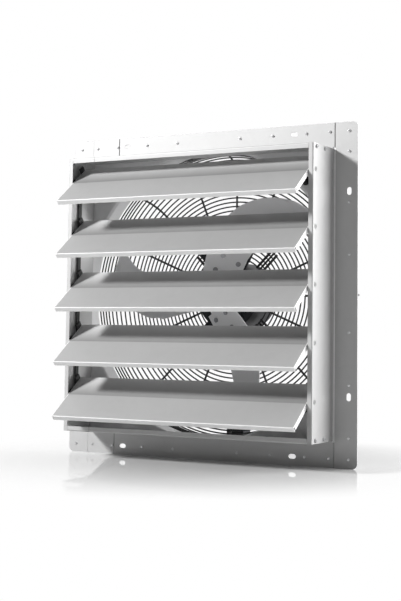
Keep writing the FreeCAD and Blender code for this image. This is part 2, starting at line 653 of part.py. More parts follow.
def guard_bolts():
    """Bolts through the panel and the guard feet, heads on the shutter side."""
    bolts = []
    front = PANEL_FRONT - WASHER
    for x, z in guard_bolt_places():
        head = Part.makeCylinder(BOLT_HEAD_R, BOLT_HEAD_H, V(x, front - BOLT_HEAD_H, z), Y_AXIS)
        rim = [e for e in head.Edges if abs(e.BoundBox.YMax - front + BOLT_HEAD_H) < NEAR]
        head = head.makeFillet(BOLT_EDGE, rim)
        shank = rod(V(x, front, z), V(x, FOOT_TOP + NUT_H + BOLT_TAIL, z), BOLT_R)
        bolts.append(fuse([head, shank]))
    return bolts


def guard_washers():
    """Round rubber washers under the bolt heads."""
    front = PANEL_FRONT - WASHER
    return [Part.makeCylinder(WASHER_R, WASHER, V(x, front, z), Y_AXIS).cut(
        Part.makeCylinder(BOLT_R + HOLE_PLAY, 3 * WASHER, V(x, front - WASHER, z), Y_AXIS))
        for x, z in guard_bolt_places()]


def guard_nuts():
    """Hexagon nuts on the guard feet."""
    return [hexagon(NUT_R, NUT_H, V(x, FOOT_TOP, z)).cut(
        Part.makeCylinder(BOLT_R + HOLE_PLAY, 3 * NUT_H, V(x, FOOT_TOP - NUT_H, z), Y_AXIS))
        for x, z in guard_bolt_places()]


def motor_screw_places(y):
    """Centres of the screws that hold the motor to its bracket."""
    return [around(s * MOTOR_SCREW_ANGLE + t, MOTOR_SCREW_RADIUS, y) for s in (-1, 1) for t in (0, 180)]


def motor_bracket():
    """Hourglass plate on the front of the motor, with four legs back to the guard rings."""
    corners = [(BRACKET_WAIST, BRACKET_WAIST_Z), (BRACKET_WIDE, BRACKET_TOP)]
    right = [(x, -z) for x, z in reversed(corners)] + corners
    outline = right + [(-x, z) for x, z in reversed(right)]
    plate = polygon([V(x, BRACKET_FRONT, z) for x, z in outline]).extrude(V(0, BRACKET, 0))
    leg = block((BRACKET_WIDE - LEG_WIDTH, BRACKET_FRONT, BRACKET_TOP - BRACKET),
                (BRACKET_WIDE, RING_BACK - RING_R + WELD, BRACKET_TOP))
    pair = [leg, mirrored_x(leg)]
    legs = pair + [mirrored_z(one) for one in pair]
    holes = [Part.makeCylinder(MOTOR_SCREW_R + HOLE_PLAY, 3 * BRACKET, place, Y_AXIS)
             for place in motor_screw_places(BRACKET_FRONT - BRACKET)]
    eye = Part.makeCylinder(BRACKET_HOLE_R, 3 * BRACKET, V(0, BRACKET_FRONT - BRACKET, 0), Y_AXIS)
    return fuse([plate] + legs).cut(holes + [eye])


def guard_stays():
    """Paired rods on the diagonals, welded to the guard rings."""
    stays = []
    for i in range(4):
        for s in (-1, 1):
            stay = rod(V(STAY_IN, STAY_Y, s * STAY_SPREAD), V(STAY_OUT, STAY_Y, s * STAY_SPREAD), STAY_R)
            stays.append(turned(stay, 45 + 90 * i))
    return stays


def motor_shell():
    """Tube between the end bells."""
    start = MOTOR_FRONT + BELL
    length = MOTOR_LENGTH - 2 * BELL
    tube = Part.makeCylinder(MOTOR_R, length, V(0, start, 0), Y_AXIS)
    bore = Part.makeCylinder(MOTOR_R - MOTOR_WALL, length, V(0, start, 0), Y_AXIS)
    return tube.cut(bore)


def motor_bell(blind):
    """End bell at the front of the motor, with a spigot in the shell and a bearing pocket."""
    disc = Part.makeCylinder(MOTOR_R, BELL, V(0, MOTOR_FRONT, 0), Y_AXIS)
    rim = [e for e in disc.Edges if abs(e.BoundBox.YMax - MOTOR_FRONT) < NEAR]
    disc = disc.makeFillet(BELL_EDGE, rim)
    spigot_r = MOTOR_R - MOTOR_WALL - FIT_PLAY
    spigot = Part.makeCylinder(spigot_r, BELL_SPIGOT, V(0, MOTOR_FRONT + BELL, 0), Y_AXIS)
    relief = Part.makeCylinder(spigot_r - MOTOR_WALL, BELL_SPIGOT, V(0, MOTOR_FRONT + BELL, 0), Y_AXIS)
    pocket_start = MOTOR_FRONT + BELL - BEARING_WIDTH
    pocket = Part.makeCylinder(BEARING_R + FIT_PLAY, BEARING_WIDTH, V(0, pocket_start, 0), Y_AXIS)
    body = fuse([disc, spigot]).cut([relief, pocket])
    if blind:
        return body.mirror(V(0, MOTOR_MID, 0), Y_AXIS)
    eye = Part.makeCylinder(SHAFT_R + SHAFT_EYE, BELL, V(0, MOTOR_FRONT, 0), Y_AXIS)
    threads = [Part.makeCylinder(MOTOR_SCREW_R + HOLE_PLAY, MOTOR_SCREW_GRIP + SCREW_TAIL, place, Y_AXIS)
               for place in motor_screw_places(MOTOR_FRONT)]
    return body.cut(threads + [eye])


def motor_screws():
    """Screws through the bracket into the front bell."""
    screws = []
    for place in motor_screw_places(BRACKET_FRONT):
        head = hexagon(MOTOR_SCREW_HEAD_R, MOTOR_SCREW_HEAD_H, place, -1)
        shank = Part.makeCylinder(MOTOR_SCREW_R, BRACKET + MOTOR_SCREW_GRIP, place, Y_AXIS)
        screws.append(fuse([head, shank]))
    return screws


def bearing(start):
    """Ball bearing, drawn as one ring on the shaft."""
    ring = Part.makeCylinder(BEARING_R, BEARING_WIDTH, V(0, start, 0), Y_AXIS)
    return ring.cut(Part.makeCylinder(SHAFT_R + RUN_PLAY, BEARING_WIDTH, V(0, start, 0), Y_AXIS))


def ring_round_axis(outer, inner, start, length):
    """Plain ring about the fan axis."""
    ring = Part.makeCylinder(outer, length, V(0, start, 0), Y_AXIS)
    return ring.cut(Part.makeCylinder(inner, length, V(0, start, 0), Y_AXIS))


def stator_coils():
    """Winding heads on both ends of the stator."""
    outer = MOTOR_R - MOTOR_WALL - COIL_SPACE
    start = MOTOR_MID - STATOR_LENGTH / 2 - COIL_OVERHANG
    front = ring_round_axis(outer, outer - COIL_WALL, start, COIL_OVERHANG)
    rims = [e for e in front.Edges if abs(e.BoundBox.YMax - start) < NEAR]
    front = front.makeFillet(COIL_EDGE, rims)
    return [front, front.mirror(V(0, MOTOR_MID, 0), Y_AXIS)]


def blade_section(radius, lead, trail, rise):
    """Thin section of a blade at a radius: a strip of sheet, arched by rise, across the +X direction."""
    lean = math.radians(BLADE_PITCH)
    def spot(along, off):
        return V(radius, BLADE_MID + along * math.sin(lean) + off * math.cos(lean),
                 along * math.cos(lean) - off * math.sin(lean))
    side = BLADE_SHEET / 2
    def edge(start, end, off):
        if rise == 0:
            return Part.makeLine(spot(start, off), spot(end, off))
        return Part.Arc(spot(start, off), spot((start + end) / 2, off + rise), spot(end, off)).toShape()
    return Part.Wire([edge(-trail, lead, side), Part.makeLine(spot(lead, side), spot(lead, -side)),
                      edge(lead, -trail, -side), Part.makeLine(spot(-trail, -side), spot(-trail, side))])


def on_arm(shape):
    """Set a piece, drawn flat along +X, at the slope of the hub arms."""
    copy = turned(shape, -BLADE_PITCH, X_AXIS)
    copy.translate(V(0, BLADE_MID, 0))
    return copy


def arm_rivet_places(y):
    """Rivet centres on one flat arm along +X."""
    return [V(x, y, s * RIVET_SPREAD) for x in BLADE_RIVETS for s in (-1, 1)]


def blade():
    """One blade along +X: a flat root on the hub arm and a cambered, round-tipped paddle."""
    start, sections = BLADE_OUTLINE[0], []
    flat = [blade_section(BLADE_ROOT_R, *BLADE_ROOT, 0), blade_section(ARM_REACH, start[1], start[2], 0)]
    for share, lead, trail in BLADE_OUTLINE:
        radius = ARM_REACH + (FAN_R - ARM_REACH) * share
        sections.append(blade_section(radius, lead, trail, BLADE_CAMBER * (lead + trail) * share))
    sheet = fuse([Part.makeLoft(flat, True, True), Part.makeLoft(sections, True, False)])
    holes = [Part.makeCylinder(BLADE_RIVET_R + HOLE_PLAY, 4 * BLADE_SHEET, place, Y_AXIS)
             for place in arm_rivet_places(-2 * BLADE_SHEET)]
    return sheet.cut([on_arm(hole) for hole in holes])


def round_fan(shape):
    """Copies of a piece at each blade's direction; turning about +Y carries +X to -Z."""
    return [turned(shape, -BLADE_PHASE - 360 / BLADES * i) for i in range(BLADES)]


def fan_hub():
    """Cast hub with an arm under each blade root."""
    barrel = Part.makeCylinder(HUB_R, HUB_LENGTH, V(0, HUB_FRONT, 0), Y_AXIS)
    arm = block((0, BLADE_SHEET / 2, -ARM_WIDTH / 2), (ARM_REACH, BLADE_SHEET / 2 + ARM, ARM_WIDTH / 2))
    holes = [Part.makeCylinder(BLADE_RIVET_R + HOLE_PLAY, 3 * ARM, place, Y_AXIS)
             for place in arm_rivet_places(-ARM)]
    bore = Part.makeCylinder(SHAFT_R + FIT_PLAY, 2 * HUB_LENGTH, V(0, BLADE_MID - HUB_LENGTH, 0), Y_AXIS)
    return fuse([barrel] + round_fan(on_arm(arm.cut(holes)))).cut(bore)


def blade_rivets():
    """Rivets through the blade roots and the hub arms."""
    front, back = -BLADE_SHEET / 2, BLADE_SHEET / 2 + ARM
    rivets = []
    for place in arm_rivet_places(0):
        shank = Part.makeCylinder(BLADE_RIVET_R, back - front, place + V(0, front, 0), Y_AXIS)
        head = Part.makeCylinder(BLADE_RIVET_HEAD_R, BLADE_RIVET_HEAD_H, place + V(0, front, 0), -Y_AXIS)
        tail = Part.makeCylinder(BLADE_RIVET_HEAD_R, BLADE_RIVET_HEAD_H, place + V(0, back, 0), Y_AXIS)
        rivets += round_fan(on_arm(fuse([shank, head, tail])))
    return rivets


def hub_nut():
    """Nut that holds the hub on the shaft."""
    nut = hexagon(HUB_NUT_R, HUB_NUT_H, V(0, HUB_FRONT, 0), -1)
    bore = Part.makeCylinder(SHAFT_R + FIT_PLAY, 3 * HUB_NUT_H, V(0, HUB_FRONT + HUB_NUT_H, 0), -Y_AXIS)
    return nut.cut(bore)


def junction_screw_level():
    """Height of the junction box's screws, which pass between two guard rings."""
    gap = RING_FIRST + RING_PITCH * (JUNCTION_RING + 0.5)
    return -math.sqrt(gap * gap - JUNCTION_SCREW_X * JUNCTION_SCREW_X)


def junction_centre():
    """Middle of the junction box, which hangs from its screws past the guard's shoulder."""
    return junction_screw_level() - JUNCTION_DROP


def junction_hole(radius, start, length):
    """Cutters of the two clamp screws."""
    z = junction_screw_level()
    return [Part.makeCylinder(radius, length, V(s * JUNCTION_SCREW_X, start, z), Y_AXIS) for s in (-1, 1)]


def conduit_hole(radius):
    """Cutter of the lead entry, through the top of the junction box."""
    top = junction_centre() + JUNCTION_TALL / 2
    return Part.makeCylinder(radius, 3 * JUNCTION_WALL, V(0, JUNCTION_MID, top - 2 * JUNCTION_WALL), Z_AXIS)


def junction_box():
    """Open-backed box on the ribs, below the motor."""
    z = junction_centre()
    x, tall = JUNCTION_WIDE / 2, JUNCTION_TALL / 2
    wall = JUNCTION_WALL
    body = block((-x, JUNCTION_FRONT, z - tall), (x, JUNCTION_BACK, z + tall))
    room = block((wall - x, JUNCTION_FRONT + wall, z - tall + wall),
                 (x - wall, JUNCTION_BACK, z + tall - wall))
    gland = Part.makeCylinder(GLAND_R + HOLE_PLAY, 3 * wall, V(0, JUNCTION_MID, z - tall - wall), Z_AXIS)
    holes = junction_hole(JUNCTION_SCREW_R + HOLE_PLAY, JUNCTION_FRONT - wall, 3 * wall)
    return body.cut([room, gland, conduit_hole(CONDUIT_R - CONDUIT_WALL)] + holes)


def junction_lid():
    """Lid over the open back, with a rib that locates it inside the walls."""
    z = junction_centre()
    x, tall = JUNCTION_WIDE / 2, JUNCTION_TALL / 2
    inset = JUNCTION_WALL + LID_PLAY
    plate = block((-x, JUNCTION_BACK, z - tall), (x, JUNCTION_BACK + JUNCTION_LID, z + tall))
    upright = [e for e in plate.Edges if abs(e.Vertexes[0].Y - e.Vertexes[1].Y) > JUNCTION_LID / 2]
    plate = plate.makeFillet(JUNCTION_WALL, upright)
    rib = block((inset - x, JUNCTION_BACK - JUNCTION_LID, z - tall + inset),
                (x - inset, JUNCTION_BACK, z + tall - inset))
    return fuse([plate, rib])


def junction_clamp():
    """Plate in front of the rings that the box is screwed to."""
    z = junction_screw_level()
    x = JUNCTION_SCREW_X + CLAMP_MARGIN
    plate = block((-x, CLAMP_FRONT, z - CLAMP_MARGIN), (x, CLAMP_FRONT + CLAMP, z + CLAMP_MARGIN))
    return plate.cut(junction_hole(JUNCTION_SCREW_R + HOLE_PLAY, CLAMP_FRONT - CLAMP, 3 * CLAMP))


def junction_screws():
    """Screws from the clamp plate, between the rings, into the box."""
    length = JUNCTION_FRONT + JUNCTION_WALL + SCREW_TAIL - CLAMP_FRONT
    shanks = junction_hole(JUNCTION_SCREW_R, CLAMP_FRONT, length)
    heads = junction_hole(JUNCTION_SCREW_HEAD_R, CLAMP_FRONT - JUNCTION_SCREW_HEAD_H, JUNCTION_SCREW_HEAD_H)
    return [fuse([shank, head]) for shank, head in zip(shanks, heads)]


def motor_conduit():
    """Sleeve of the motor leads, from the shell down to the junction box."""
    top, low = -MOTOR_R, junction_centre() + JUNCTION_TALL / 2
    tube = rod(V(0, JUNCTION_MID, low), V(0, JUNCTION_MID, top), CONDUIT_R)
    return tube.cut(rod(V(0, JUNCTION_MID, low), V(0, JUNCTION_MID, top), CONDUIT_R - CONDUIT_WALL))


def cable_gland():
    """Gland for the supply lead, in the bottom of the junction box."""
    low = junction_centre() - JUNCTION_TALL / 2
    place = V(0, JUNCTION_MID, low)
    corner = (GLAND_R + GLAND_RIM) / math.cos(math.radians(30))
    angles = [math.radians(60 * i) for i in range(6)]
    spots = [place + V(corner * math.cos(a), corner * math.sin(a), 0) for a in angles]
    nut = polygon(spots).extrude(V(0, 0, -GLAND_NUT))
    neck = Part.makeCylinder(GLAND_R, JUNCTION_WALL, place, Z_AXIS)
    cap_top = place - V(0, 0, GLAND_NUT)
    cap = Part.makeCone(GLAND_R + GLAND_RIM, GLAND_R, GLAND_LENGTH - GLAND_NUT, cap_top, -Z_AXIS)
    bore = Part.makeCylinder(CONDUIT_R, 2 * GLAND_LENGTH, place + V(0, 0, GLAND_LENGTH / 2), -Z_AXIS)
    return fuse([nut, neck, cap]).cut(bore)


def save_housing():
    """Sheet-metal box, flange, panel and their fasteners."""
    wall = right_wall()
    save("right_wall", wall)
    save("left_wall", mirrored_x(wall))
    long_rail = top_rail(SPLIT_X + SEAM_GAP / 2, HALF_FLANGE, 1)
    short_rail = top_rail(-HALF_FLANGE, SPLIT_X - SEAM_GAP / 2, -1)
    save("top_rail_long", long_rail)
    save("top_rail_short", short_rail)
    save("bottom_rail_long", mirrored_z(long_rail))
    save("bottom_rail_short", mirrored_z(short_rail))
    save("orifice_panel", orifice_panel())
    save("flange_rivets", flange_rivets())
    save("wall_screws", wall_screws())
    save("pivot_bushes", pivot_bushes())


def save_shutter():
    """Louvres with their end pieces, and the bar that ties them together."""
    pieces = (
        ("louvre_%d", louvre_blade()),
        ("louvre_%d_crank", louvre_crank()),
        ("louvre_%d_stub", louvre_stub()),
    )
    for index, z in enumerate(louvre_pivots(), 1):
        for name, shape in pieces:
            save(name % index, at_pivot(shape, z))
    save("tie_bar", tie_bar())


def save_guard():
    """Wire guard with its feet and bolts."""
    rib = guard_rib()
    save("guard_ribs", [turned(rib, 360 / RIB_COUNT * i) for i in range(RIB_COUNT)])
    save("guard_back_rings", guard_rings(True))
    save("guard_side_rings", guard_rings(False))
    save("guard_base_ring", guard_base_ring())
    save("guard_feet", guard_feet())
    save("guard_stays", guard_stays())
    save("guard_bolts", guard_bolts())
    save("guard_washers", guard_washers())
    save("guard_nuts", guard_nuts())


def save_motor():
    """Motor, its bracket and the junction box."""
    inside = MOTOR_R - MOTOR_WALL - FIT_PLAY
    core_start = MOTOR_MID - STATOR_LENGTH / 2
    save("motor_bracket", motor_bracket())
    save("motor_screws", motor_screws())
    save("motor_shell", motor_shell())
    save("motor_front_bell", motor_bell(False))
    save("motor_rear_bell", motor_bell(True))
    save("stator_core", ring_round_axis(inside, STATOR_BORE_R, core_start, STATOR_LENGTH))
    save("stator_coils", stator_coils())
    save("front_bearing", bearing(MOTOR_FRONT + BELL - BEARING_WIDTH))
    save("rear_bearing", bearing(MOTOR_BACK - BELL))
    save("junction_box", junction_box())
    save("junction_lid", junction_lid())
    save("junction_clamp", junction_clamp())
    save("junction_screws", junction_screws())
    save("motor_conduit", motor_conduit())
    save("cable_gland", cable_gland())


def save_fan():
    """Everything that turns with the shaft."""
    core_start = MOTOR_MID - STATOR_LENGTH / 2
    save("fan_shaft", rod(V(0, SHAFT_FRONT, 0), V(0, MOTOR_BACK - BELL + BEARING_WIDTH, 0), SHAFT_R))
    rotor_r = STATOR_BORE_R - AIR_GAP
    save("rotor_core", ring_round_axis(rotor_r, SHAFT_R + FIT_PLAY, core_start, STATOR_LENGTH))
    save("fan_hub", fan_hub())
    for index, shape in enumerate(round_fan(blade()), 1):
        save("fan_blade_%d" % index, shape)
    save("blade_rivets", blade_rivets())
    save("hub_nut", hub_nut())


save_housing()
save_shutter()
save_guard()
save_motor()
save_fan()
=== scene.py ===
"""Looks of a wall-mounted shutter exhaust fan: finishes, small hardware, floor, light and camera.

The frame is in metres with +Z up. The shutter faces -Y, and the motor stands on the +Y side.
"""
import json
import logging
import math
from dataclasses import dataclass
from enum import Enum
from typing import Callable, Iterable, Sequence, Union

import bpy
from mathutils import Matrix, Vector


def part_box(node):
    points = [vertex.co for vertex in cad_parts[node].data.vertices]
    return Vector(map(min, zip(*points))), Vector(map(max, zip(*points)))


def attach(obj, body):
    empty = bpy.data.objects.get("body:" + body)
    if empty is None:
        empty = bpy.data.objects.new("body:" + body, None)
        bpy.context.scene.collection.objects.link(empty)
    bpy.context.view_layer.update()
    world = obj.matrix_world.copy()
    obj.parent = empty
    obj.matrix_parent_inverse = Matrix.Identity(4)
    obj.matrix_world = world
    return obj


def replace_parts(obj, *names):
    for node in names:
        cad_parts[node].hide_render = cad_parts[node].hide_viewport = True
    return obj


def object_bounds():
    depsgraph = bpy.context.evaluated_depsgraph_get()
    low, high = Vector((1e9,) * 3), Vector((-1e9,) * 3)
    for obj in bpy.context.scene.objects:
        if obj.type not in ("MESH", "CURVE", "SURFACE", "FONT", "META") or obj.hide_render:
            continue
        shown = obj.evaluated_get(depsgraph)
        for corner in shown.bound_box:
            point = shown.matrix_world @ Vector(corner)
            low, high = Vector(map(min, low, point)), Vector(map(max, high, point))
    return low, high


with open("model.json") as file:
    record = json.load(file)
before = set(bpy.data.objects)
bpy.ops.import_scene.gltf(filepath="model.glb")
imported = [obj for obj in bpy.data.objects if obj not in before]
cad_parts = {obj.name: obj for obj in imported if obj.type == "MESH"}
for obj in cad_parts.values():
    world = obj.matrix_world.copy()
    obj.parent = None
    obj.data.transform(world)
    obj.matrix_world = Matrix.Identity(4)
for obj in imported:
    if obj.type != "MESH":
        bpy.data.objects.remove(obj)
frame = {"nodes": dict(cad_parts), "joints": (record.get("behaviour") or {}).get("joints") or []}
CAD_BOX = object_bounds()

LOG = logging.getLogger("shutter_fan")
MM = 0.001
SMOOTH_ANGLE = math.radians(35.0)
WHITE = (1.0, 1.0, 1.0, 1.0)
BLACK = (0.0, 0.0, 0.0, 1.0)
NOISE_MIDDLE = 0.5
NOISE_ROUGHNESS = 0.55
SAME_WAY = 0.9  # least part of a face's normal along the direction that it looks in
HEX_SIDES = 6
CROSS_WAYS = (Vector((1, 0, 0)), Vector((-1, 0, 0)), Vector((0, 1, 0)), Vector((0, -1, 0)))

Number = Union[int, float]
Colour = tuple[float, float, float]


class Axis(Enum):
    """Direction of a piece's grain or length."""

    X = 0
    Y = 1
    Z = 2


class Recess(Enum):
    """Drive of a screw head, or the hole in a blind rivet."""

    CROSS = "cross"
    HEX = "hex"
    MANDREL = "mandrel"


class Field:
    """Shader value that takes part in Python arithmetic."""

    def __init__(self, graph: "Graph", socket: bpy.types.NodeSocket) -> None:
        """Wrap an output socket of a graph's node."""
        self.graph = graph
        self.socket = socket

    def math(self, operation: str, first: "Value", second: "Value" = 0.0) -> "Field":
        """Math node on two values."""
        return self.graph.node("ShaderNodeMath", {"operation": operation}, {0: first, 1: second})

    def __add__(self, other: "Value") -> "Field":
        """Sum."""
        return self.math("ADD", self, other)

    def __sub__(self, other: "Value") -> "Field":
        """Difference."""
        return self.math("SUBTRACT", self, other)

    def __rsub__(self, other: "Value") -> "Field":
        """Difference from a number."""
        return self.math("SUBTRACT", other, self)

    def __mul__(self, other: "Value") -> "Field":
        """Product."""
        return self.math("MULTIPLY", self, other)

    __radd__ = __add__
    __rmul__ = __mul__

    def most(self, other: "Value") -> "Field":
        """Larger of two values."""
        return self.math("MAXIMUM", self, other)

    def size(self) -> "Field":
        """Value without its sign."""
        return self.math("ABSOLUTE", self)

    def swing(self, depth: Number) -> "Field":
        """Variation of a noise about its middle, to a depth."""
        return (self - NOISE_MIDDLE) * depth

    def ease(self, low: Number, high: Number) -> "Field":
        """Smooth step from 0 at low to 1 at high."""
        return self.ramp({"interpolation_type": "SMOOTHSTEP"}, low, high)

    def past(self, place: Number, soft: Number) -> "Field":
        """Mask of what lies past a place, with a soft edge on both sides of it."""
        return self.ease(place - soft, place + soft)

    def span(self, low: Number, high: Number) -> "Field":
        """Straight ramp from 0 at low to 1 at high."""
        return self.ramp({"clamp": True}, low, high)

    def ramp(self, settings: dict, low: Number, high: Number) -> "Field":
        """Map Range node from low and high to 0 and 1."""
        return self.graph.node("ShaderNodeMapRange", settings, {0: self, 1: low, 2: high, 3: 0.0, 4: 1.0})


Value = Union[Number, Field]


class Graph:
    """Node tree of one material, world or stage surface."""

    def __init__(self, tree: bpy.types.NodeTree) -> None:
        """Start from an empty tree."""
        self.tree = tree
        tree.nodes.clear()

    def node(self, kind: str, settings: dict | None = None, values: dict | None = None,
             output: Union[int, str] = 0) -> Field:
        """Add a node.

        Args:
            kind: node type name.
            settings: node properties, set first.
            values: numbers, colours, vectors or fields by input name or index.
            output: name or index of the output that is returned.

        Returns:
            The chosen output as a field.
        """
        made = self.tree.nodes.new(kind)
        for key, setting in (settings or {}).items():
            setattr(made, key, setting)
        for key, value in (values or {}).items():
            if isinstance(value, Field):
                self.tree.links.new(value.socket, made.inputs[key])
            else:
                made.inputs[key].default_value = value
        return Field(self, made.outputs[output])

    def place(self, scale: Sequence[float] = (1.0, 1.0, 1.0)) -> Field:
        """Object coordinates of the surface, stretched by a scale."""
        coordinates = self.node("ShaderNodeTexCoord", output="Object")
        return self.node("ShaderNodeMapping", None, {"Vector": coordinates, "Scale": tuple(scale)})

    def split(self, vector: Field) -> tuple[Field, Field, Field]:
        """Parts of a vector as three fields."""
        parts = self.node("ShaderNodeSeparateXYZ", None, {0: vector}).socket.node.outputs
        return tuple(Field(self, parts[index]) for index in range(3))

    def axes(self) -> tuple[Field, Field, Field]:
        """Object coordinates as three fields."""
        return self.split(self.place())

    def noise(self, scale: float, detail: float = 4.0, stretch: Sequence[float] = (1.0, 1.0, 1.0)) -> Field:
        """Noise about NOISE_MIDDLE, on stretched object coordinates."""
        values = {"Vector": self.place(stretch), "Roughness": NOISE_ROUGHNESS}
        return self.node("ShaderNodeTexNoise", None, {**values, "Scale": scale, "Detail": detail}, "Fac")

    def cells(self, scale: float) -> Field:
        """Random level for each cell of a fine network."""
        colour = self.node("ShaderNodeTexVoronoi", None, {"Vector": self.place(), "Scale": scale}, "Color")
        return self.node("ShaderNodeSeparateColor", None, {0: colour})

    def grey(self, level: Field, tint: Colour) -> Field:
        """Colour of a tint at a level that varies over the surface."""
        settings = {"data_type": "RGBA", "blend_type": "MIX", "clamp_factor": False}
        return self.node("ShaderNodeMix", settings, {0: level, 6: BLACK, 7: (*tint, 1.0)}, 2)

    def bump(self, height: Field, strength: float, depth: float) -> Field:
        """Normal of a surface with a fine relief."""
        values = {"Height": height, "Strength": strength, "Distance": depth}
        return self.node("ShaderNodeBump", None, values, "Normal")

    def surface(self, values: dict) -> None:
        """Put a principled surface on the output."""
        self.output(self.node("ShaderNodeBsdfPrincipled", None, values, "BSDF"))

    def output(self, shader: Field, kind: str = "ShaderNodeOutputMaterial") -> None:
        """Put a shader on the output node."""
        made = self.tree.nodes.new(kind)
        self.tree.links.new(shader.socket, made.inputs["Surface"])


def new_graph(name: str) -> tuple[bpy.types.Material, Graph]:
    """Material with an empty node tree.

    Args:
        name: material name.

    Returns:
        The material and its graph.
    """
    material = bpy.data.materials.new(name)
    material.use_nodes = True
    return material, Graph(material.node_tree)


@dataclass(frozen=True)
class SheetFinish:
    """Satin sheet metal with a rolled grain and faint cloudy patches."""

    name: str
    tint: Colour
    roughness: float
    metallic: float
    grain: Axis = Axis.X
    grain_across: float = 260.0
    grain_along: float = 3.0
    grain_rough: float = 0.10
    grain_relief: float = 0.06
    grain_depth: float = 0.2 * MM
    smudge_scale: float = 16.0
    smudge_rough: float = 0.12
    cloud_scale: float = 9.0
    cloud_tone: float = 0.05
    spangle_scale: float = 70.0
    spangle: float = 0.02

    def stretch(self) -> Sequence[float]:
        """Scale of the coordinates that draws noise out along the grain."""
        return [self.grain_along if axis is self.grain else self.grain_across for axis in Axis]

    def level(self, graph: Graph) -> Field:
        """Brightness over the surface, about 1.

        Args:
            graph: node tree of the material.

        Returns:
            The factor on the tint.
        """
        patches = graph.cells(self.spangle_scale).swing(self.spangle)
        clouds = graph.noise(self.cloud_scale).swing(self.cloud_tone)
        return patches + clouds + 1.0

    def build(self) -> bpy.types.Material:
        """Make the material.

        Returns:
            The finish as a material.
        """
        material, graph = new_graph(self.name)
        grain = graph.noise(1.0, detail=3.0, stretch=self.stretch())
        smudges = graph.noise(self.smudge_scale, detail=5.0)
        graph.surface({
            "Base Color": graph.grey(self.level(graph), self.tint),
            "Metallic": self.metallic,
            "Roughness": grain.swing(self.grain_rough) + smudges.swing(self.smudge_rough) + self.roughness,
            "Normal": graph.bump(grain, self.grain_relief, self.grain_depth),
        })
        return material


@dataclass(frozen=True, kw_only=True)
class SeamFinish(SheetFinish):
    """Housing sheet with painted shade in the seams where two strips of the flange meet and a painted
    highlight along the bend at each wall.
    """

    seams: tuple[float, ...]
    bend: float
    line_half: float = 0.7 * MM
    line_soft: float = 0.7 * MM
    # tones of the painted seam shade, of its weaker share below the box, and of the painted bend highlight
    seam_shade_tone: float = 0.22
    low_seam_shade: float = 0.45
    bend_highlight_tone: float = 1.8
    flange_reach: float = 256.0 * MM
    flange_front: float = -2.5 * MM
    edge: float = 0.2 * MM
    middle: float = 1.0 * MM

    def level(self, graph: Graph) -> Field:
        """Brightness over the sheet, low with painted shade at a seam above or below the box and high with a
        painted highlight at a wall's bend.

        Args:
            graph: node tree of the material.

        Returns:
            The factor on the tint.
        """
        x, y, z = graph.axes()
        face = y.past(self.flange_front, self.edge)
        outside = z.size().past(self.flange_reach, self.edge)
        depth = z.past(0.0, self.middle) * (1.0 - self.low_seam_shade) + self.low_seam_shade
        seam_shade_mask = face * outside * depth
        tone = super().level(graph)
        for seam in self.seams:
            # painted shade: a dark line in the gap at each seam of the flange, weaker below the box
            tone = tone * (1.0 - self.line(x, seam) * seam_shade_mask * (1.0 - self.seam_shade_tone))
        # painted highlight: a light line along the bend between each side wall and the flange
        bend = self.line(x.size(), self.bend) * face * (1.0 - outside)
        return tone * (bend * (self.bend_highlight_tone - 1.0) + 1.0)

    def line(self, across: Field, place: float) -> Field:
        """Mask of a thin line at a place along one axis."""
        return 1.0 - (across - place).size().ease(self.line_half, self.line_half + self.line_soft)


@dataclass(frozen=True, kw_only=True)
class LouvreFinish(SheetFinish):
    """Louvre sheet with painted shade on a strip behind the pivot line that turns to painted light towards
    the rear edge, and painted highlights on the front lip and turned ends.
    """

    pivot: tuple[float, float]
    end_start: float
    slope: float = math.radians(37.4)
    strip_start: float = -10.5 * MM
    strip_end: float = 40.0 * MM
    strip_soft: float = 0.6 * MM
    # tones of the painted shade on the strip, the painted light at its rear edge, and the painted highlights
    # on the lip and turned ends
    strip_shade_tone: float = 0.64
    rear_light_tone: float = 1.62
    lip_start: float = -71.2 * MM
    lip_soft: float = 0.4 * MM
    lip_highlight_tone: float = 2.00
    end_soft: float = 0.1 * MM
    end_highlight_tone: float = 2.00

    def level(self, graph: Graph) -> Field:
        """Brightness along the louvre's width, from its lip to its rear edge.

        Args:
            graph: node tree of the material.

        Returns:
            The factor on the tint.
        """
        x, y, z = graph.axes()
        along = (y - self.pivot[0]) * math.cos(self.slope) + (z - self.pivot[1]) * math.sin(self.slope)
        # painted shade on the strip behind the pivot line, turning to painted light towards the rear edge
        # that offsets the lamp's shadow there
        strip = along.past(self.strip_start, self.strip_soft)
        rear = along.span(self.strip_start, self.strip_end)
        # painted highlight on the front lip
        lip = 1.0 - along.past(self.lip_start, self.lip_soft)
        # painted highlight on the turned ends
        end = x.size().ease(self.end_start, self.end_start + self.end_soft)
        tone = 1.0 - strip * (rear * (self.strip_shade_tone - self.rear_light_tone) + (1.0 - self.strip_shade_tone))
        tone = tone + lip * (self.lip_highlight_tone - 1.0)
        return super().level(graph) * (tone + end * (self.end_highlight_tone - tone))


@dataclass(frozen=True)
class CoatFinish:
    """Powder coat or enamel with a fine orange-peel face."""

    name: str
    tint: Colour
    roughness: float = 0.42
    specular: float = 0.5
    peel_scale: float = 700.0
    peel_rough: float = 0.08
    peel_relief: float = 0.10
    peel_depth: float = 0.2 * MM
    dust_scale: float = 26.0
    dust_tone: float = 0.25
    dust_rough: float = 0.14

    def build(self) -> bpy.types.Material:
        """Make the material.

        Returns:
            The finish as a material.
        """
        material, graph = new_graph(self.name)
        peel = graph.noise(self.peel_scale, detail=2.0)
        dust = graph.noise(self.dust_scale, detail=5.0)
        graph.surface({
            "Base Color": graph.grey(dust.swing(self.dust_tone) + 1.0, self.tint),
            "Roughness": dust.swing(self.dust_rough) + peel.swing(self.peel_rough) + self.roughness,
            "Specular IOR Level": self.specular,
            "Normal": graph.bump(peel, self.peel_relief, self.peel_depth),
        })
        return material


